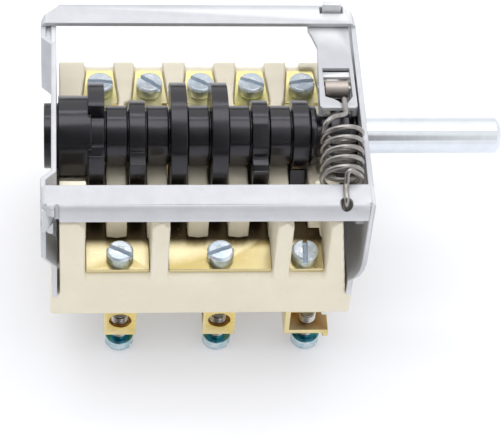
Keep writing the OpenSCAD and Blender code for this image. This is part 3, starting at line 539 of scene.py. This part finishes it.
def wire(name, path, radius, sides=14):
    """A round wire along a path, with slightly domed ends."""
    shape = bmesh.new()
    ahead = (path[1] - path[0]).normalized()
    across = ahead.orthogonal().normalized()
    rings = []
    last = len(path) - 1
    # A row is a centre, the way of the wire there, and a shift along it and a size as parts of the radius
    domes = [(-0.5, 0.5), (-0.3, 0.85)]
    rows = [(path[0], path[1] - path[0], shift, share) for shift, share in domes]
    rows += [(p, path[min(i + 1, last)] - path[max(i - 1, 0)], 0, 1) for i, p in enumerate(path)]
    rows += [(path[-1], path[-1] - path[-2], -shift, share) for shift, share in reversed(domes)]
    for centre, way, shift, share in rows:
        way = way.normalized()
        across = (across - way * across.dot(way)).normalized()
        up = way.cross(across)
        ring = []
        for k in range(sides):
            turn = 2 * math.pi * k / sides
            off = (across * math.cos(turn) + up * math.sin(turn)) * radius * share
            ring.append(shape.verts.new((centre + way * shift * radius + off) * MM))
        rings.append(ring)
    for near, far in zip(rings, rings[1:]):
        for k in range(sides):
            shape.faces.new((near[k], near[(k + 1) % sides], far[(k + 1) % sides], far[k]))
    shape.faces.new(rings[0][::-1])
    shape.faces.new(rings[-1])
    bmesh.ops.recalc_face_normals(shape, faces=shape.faces)
    mesh = made_mesh(name, shape)
    smooth(mesh, 60)
    return mesh


def thread(shape, x, y, low, high, core, crest, pitch=0.5, steps=20):
    """Adds a helical ridge round an upright axis, between two heights."""
    # The ridge keeps off the ends by a part of its pitch, rises over a few steps and roots in the core
    margin, rise, root = 0.4, 8, core - 0.06
    foot, edge = pitch * 0.42, pitch * 0.07
    rings = []
    count = int(((high - low) / pitch - 2 * margin) * steps)
    for i in range(count + 1):
        turn = 2 * math.pi * i / steps
        z = low + pitch * (margin + i / steps)
        out = core + (crest - core) * min(1, i / rise, (count - i) / rise)
        ring = [(root, z - foot), (out, z - edge), (out, z + edge), (root, z + foot)]
        places = [(x + r * math.cos(turn), y + r * math.sin(turn), h) for r, h in ring]
        rings.append([shape.verts.new(Vector(place) * MM) for place in places])
    for near, far in zip(rings, rings[1:]):
        for k in range(4):
            shape.faces.new((near[k], far[k], far[(k + 1) % 4], near[(k + 1) % 4]))
    shape.faces.new(rings[0])
    shape.faces.new(rings[-1][::-1])


# Materials that several kinds of node or parts of a mesh share, or that take a long line
frame_sheet = plated_sheet("plated frame", (0.55, 0.56, 0.585), (0.15, 1, 1), 0.38)
lever_sheet = plated_sheet("plated lever", (0.5, 0.51, 0.535), (1, 0.15, 1), 0.32)
roller_steel = turned_steel("roller steel", (0.5, 0.45, 0.41), 0.45, 4.0, 0.002)
# The feed strips carry a painted shade and painted dark reflection where they pass under the near bar
strip_brass = rolled_brass("strip brass", (0.51, 0.41, 0.165), 0.1, painted_shade_span=(-15.9, -13.4), lean=0.15)
clamp_brass = rolled_brass("clamp brass", (0.8, 0.62, 0.19), 0.2, (0.15, 1, 1))
# Painted shade: a darker, coppery copy of the clamp brass, for the faces inside a clamp
clamp_painted_shade = rolled_brass("clamp painted shade", (0.34, 0.17, 0.04), 0.3, (0.15, 1, 1), (0.13, 0.06, 0.015))
screw_zinc = plated_screw("screw zinc", (0.76, 0.81, 0.86), (0.6, 0.7, 0.79), 0.22, 0.6)
slot_zinc = plated_screw("slot zinc", (0.64, 0.71, 0.78), (0.5, 0.6, 0.7), 0.4, 0.15)
# Painted shade: an olive, darker copy of the screw zinc, for the upright sides of the terminal screws
side_shade_zinc = plated_screw("side shade zinc", (0.56, 0.6, 0.52), (0.34, 0.38, 0.3), 0.3, 0.8)
thread_steel = plated_screw("thread steel", (0.42, 0.41, 0.39), (0.3, 0.3, 0.29), 0.25)
blue_zinc = plated_screw("blue zinc", (0.72, 0.8, 0.84), (0.45, 0.66, 0.74), 0.14)
# Blue plating with a painted shade: a dark copy of the blue zinc, for the rim under a clamp screw's head
shaded_blue_plating = plated_screw("shaded blue plating", (0.05, 0.34, 0.46), (0.02, 0.22, 0.34), 0.12)
# Finish, slot and edge radius of each kind of node. One without a radius is made further down
kinds = {
    "frame": (frame_sheet, "zinc_sheet", 0.14),
    "camshaft": (black_moulding(), "black_moulding", 0.12),
    "shaft": (turned_steel("bright shaft", (0.8, 0.84, 0.89), 0.03), "bright_steel", 0.1),
    "roller_pin": (turned_steel("pin steel", (0.7, 0.69, 0.68), 0.2), "bright_steel", 0.08),
    "detent_lever": (lever_sheet, "lever_sheet", 0.1),
    "detent_roller": (roller_steel, "roller_steel", 0.12),
    "feed_clamp_screw": (blue_zinc, "blue_zinc", 0.12),
    "load_clamp_screw": (blue_zinc, "blue_zinc", 0.12),
    "feed_clamp": (clamp_brass, "clamp_brass", 0.1),
    "load_clamp": (clamp_brass, "clamp_brass", 0.1),
    "feed_strip": (strip_brass, "strip_brass", 0.08),
    "load_strip": (rolled_brass("load strip brass", (0.84, 0.77, 0.34), 0.24), "strip_brass", 0.08),
    "contact_blade": (rolled_brass("contact bronze", (0.72, 0.5, 0.28), 0.22), "contact_bronze", 0.04),
    "follower": (moulded_white(), "follower_plastic", 0.12),
    "feed_screw": (screw_zinc, "zinc_screw", 0.1),
    "load_screw": (screw_zinc, "zinc_screw", 0.1),
    "ceramic_base": (fired_ceramic(), "ceramic", None),
    "tension_spring": (drawn_wire(), "spring_steel", None),
}
for name, node in nodes.items():
    finish, slot, radius = kinds[max((k for k in kinds if name.startswith(k)), key=len)]
    for place in node.material_slots:
        place.material = finish
    if radius:
        piece = put(name + "_eased", eased(name, radius), node["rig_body"], slot, finish, name)
        level = piece.modifiers.new("level", "WEIGHTED_NORMAL")
        level.keep_sharp = True
        if "clamp_screw" in name:
            finish_clamp_screw(name, piece.data)
        elif "screw" in name:
            finish_screw(name, piece.data)
        elif "clamp" in name:
            finish_clamp(name, piece.data)

# Beside the last strip the wall stands lower
low_wall = oblong(-9.5, -6.6, -14, -9.4)
finish, slot, _ = kinds["ceramic_base"]
cast("ceramic_base", "base", slot, finish, [(low_wall, -10.6, -3)])

# Tension spring: far hook in the lever, five turns and a near hook in the bar
wire_r, coil_r, coil_far, coil_near = 0.45, 3.15, Vector((-4.4, -7.1, 9.6)), Vector((-5.05, -16.1, 7.6))
# The coil advances over so many sixteenths of a turn, and the last ones lie in one plane
coil_steps = 83
# Height of the wire's middle where it lies on the lever's lip
lip = 8.386


def coil(k):
    """A point of the coil, k sixteenths of a turn from its far end."""
    turn = math.pi * (1 + k / 8)
    along = coil_near - coil_far
    up = Vector((0, along.z, -along.y)).normalized()
    out = math.cos(turn) * Vector((1, 0, 0)) + math.sin(turn) * up
    return coil_far + along * min(k / coil_steps, 1) + coil_r * out


far_hook = [(-3.4, 0.9, lip - 1.3), (-3.4, 0.85, lip - 0.75), (-3.4, 0.65, lip - 0.2),
            (-3.4, 0.1, lip + 0.02), (-3.4, -1.3, lip + 0.1), (-3.45, -2.9, lip + 0.45),
            (-3.9, -3.7, lip + 0.9), (-4.9, -4.5, lip + 1.5), (-6.1, -5.6, 10.6), (-7.15, -6.6, 10.1)]
near_hook = [coil(89.2), coil(90.4), (-3.95, -16.75, 10.75), (-4.5, -17.2, 10.4), (-4.5, -17.7, 9.7),
             (-4.65, -18.3, 9.1), (-4.75, -19.1, 8.95), (-4.75, -20.6, 8.95), (-4.75, -21.2, 8.6),
             (-4.75, -21.45, 7.9), (-4.75, -21.3, 7.1), (-4.75, -20.8, 6.4)]
line = flowing(far_hook + [coil(k) for k in range(1, 89)] + near_hook, steps=3)
finish, slot, _ = kinds["tension_spring"]
spring = put("spring_wire", wire("spring_wire", line, wire_r), None, slot, finish, "tension_spring")
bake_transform(spring)

# Threads on the clamp screws, and on the ends of the terminal screws inside the clamps
thread_core, thread_crest = 1.23, 1.4
# Where threads start and stop, from a screw's low end or top
over_head, short_of_tip, in_clamp = 2.85, 0.1, 1.9
for name in sorted(nodes):
    if "_screw" in name:
        low, high = box_of(name)
        if "clamp" in name:
            bottom, top, slot = low.z + over_head, high.z - short_of_tip, "blue_zinc"
        else:
            bottom, top, slot = low.z + short_of_tip, low.z + in_clamp, "zinc_screw"
        shape = bmesh.new()
        thread(shape, (low.x + high.x) / 2, (low.y + high.y) / 2, bottom, top, thread_core, thread_crest)
        bmesh.ops.recalc_face_normals(shape, faces=shape.faces)
        mesh = made_mesh(name + "_thread", shape)
        smooth(mesh, 40)
        put(name + "_thread", mesh, "base", slot, thread_steel)


# Studio
def lamp(name, elevation, width, height, power):
    """A soft panel behind the switch, or over it, that looks down at it from an elevation in degrees.

    Its reach, width and height are in metres and its power in watts.
    """
    aim = Vector((-0.015, 0, 0))
    reach = 0.7
    slope = math.radians(elevation)
    out = Vector((0, math.cos(slope), math.sin(slope)))
    data = bpy.data.lights.new(name, "AREA")
    data.shape = "RECTANGLE"
    data.size, data.size_y = width, height
    data.energy = power
    data.color = (0.97, 0.97, 1)
    panel = bpy.data.objects.new(name, data)
    panel.location = aim + out * reach
    panel.rotation_euler = out.to_track_quat("Z", "Y").to_euler()
    bpy.context.collection.objects.link(panel)


lamp("back panel", 45, 0.8, 0.34, 0.15)
lamp("slim panel", 60, 0.8, 0.06, 0.6)
lamp("top panel", 86, 0.7, 0.34, 1.25)

# The table, under the lifted heads of the clamp screws, in metres, with a share of light of its own
own_light = 0.27
floor_z = cad_box[0][2] + head_lift * MM
mesh = bpy.data.meshes.new("table top")
corners = [(x, y, floor_z) for x, y in oblong(-3, 3, -3, 3)]
mesh.from_pydata(corners, [], [(0, 1, 2, 3)])
table = bpy.data.objects.new("table_top", mesh)
bpy.context.collection.objects.link(table)
top = Finish("table top", Roughness=0.7)
top.feed(Base_Color=top.blend(top.noise(0.01, 2), (0.81, 0.815, 0.84), (0.83, 0.835, 0.855)))
glow = top.node("ShaderNodeEmission", inputs={"Color": (0.93, 0.935, 0.97, 1), "Strength": 1.0})
lit = Value(top, top.shader.outputs[0])
surface = top.node("ShaderNodeMixShader", inputs={0: top.seen() * own_light, 1: lit, 2: glow})
top.show(surface, "Material Output")
mesh.materials.append(top.material)

world = bpy.data.worlds.new("studio")
bpy.context.scene.world = world
world.use_nodes = True
sky = Maker(world.node_tree)


def light_of(color, strength):
    """A background of a colour and a strength."""
    return sky.node("ShaderNodeBackground", inputs={"Color": (*color, 1), "Strength": strength})


toward = sky.node("ShaderNodeTexCoord", output="Generated")
east, north, height = [sky.node("ShaderNodeSeparateXYZ", inputs=[toward], output=axis) for axis in "XYZ"]
# Gloss mirrors a bright room with a dim patch on its near side, between two slanting edges
dim = sky.clear(north, -0.05, -0.2) * sky.clear(east, 0.22, 0.08)
dim *= sky.clear(height - 1.2 * east, 0.04, 0.12) * sky.clear(height + 1.5 * east, 1.08, 0.84)
gloss = sky.node("ShaderNodeLightPath", output="Is Glossy Ray")
bright, shade = light_of((1, 1, 1), 1.0), light_of((0.95, 0.97, 1), 0.15)
around = sky.node("ShaderNodeMixShader", inputs={0: dim * gloss, 1: bright, 2: shade})
# Scattered light is three times stronger overhead than at the sides
zenith = sky.clear(height, 0.2, 0.95)
side, over = light_of((0.97, 0.98, 1), 0.5), light_of((0.98, 0.985, 1), 1.5)
soft = sky.node("ShaderNodeMixShader", inputs={0: zenith, 1: side, 2: over})
sky.show(sky.node("ShaderNodeMixShader", inputs={0: sky.seen(), 1: soft, 2: around}), "World Output")

# Camera, as fitted to the photograph: focal length and width in pixels, place in metres, angles in degrees
focal, photo_width, sensor = 2304.665, 502, 36
place = Vector((-0.049208, -0.250748, 0.285844))
data = bpy.data.cameras.new("camera")
data.lens = focal / photo_width * sensor
data.sensor_width = sensor
data.clip_start = 0.01
camera = bpy.data.objects.new("camera", data)
tilt, turn, roll = math.radians(50.8484), math.radians(4.6573), math.radians(-0.2347)
ahead = Vector((math.sin(turn), math.cos(tilt) * math.cos(turn), -math.sin(tilt) * math.cos(turn)))
upward = Vector((0, math.sin(tilt), math.cos(tilt)))
right = ahead.cross(upward)
right, upward = (right * math.cos(roll) + upward * math.sin(roll),
                 upward * math.cos(roll) - right * math.sin(roll))
camera.matrix_world = Matrix.Translation(place) @ Matrix((right, upward, -ahead)).transposed().to_4x4()
bpy.context.collection.objects.link(camera)
bpy.context.scene.camera = camera
bpy.context.scene.view_settings.view_transform = "Standard"
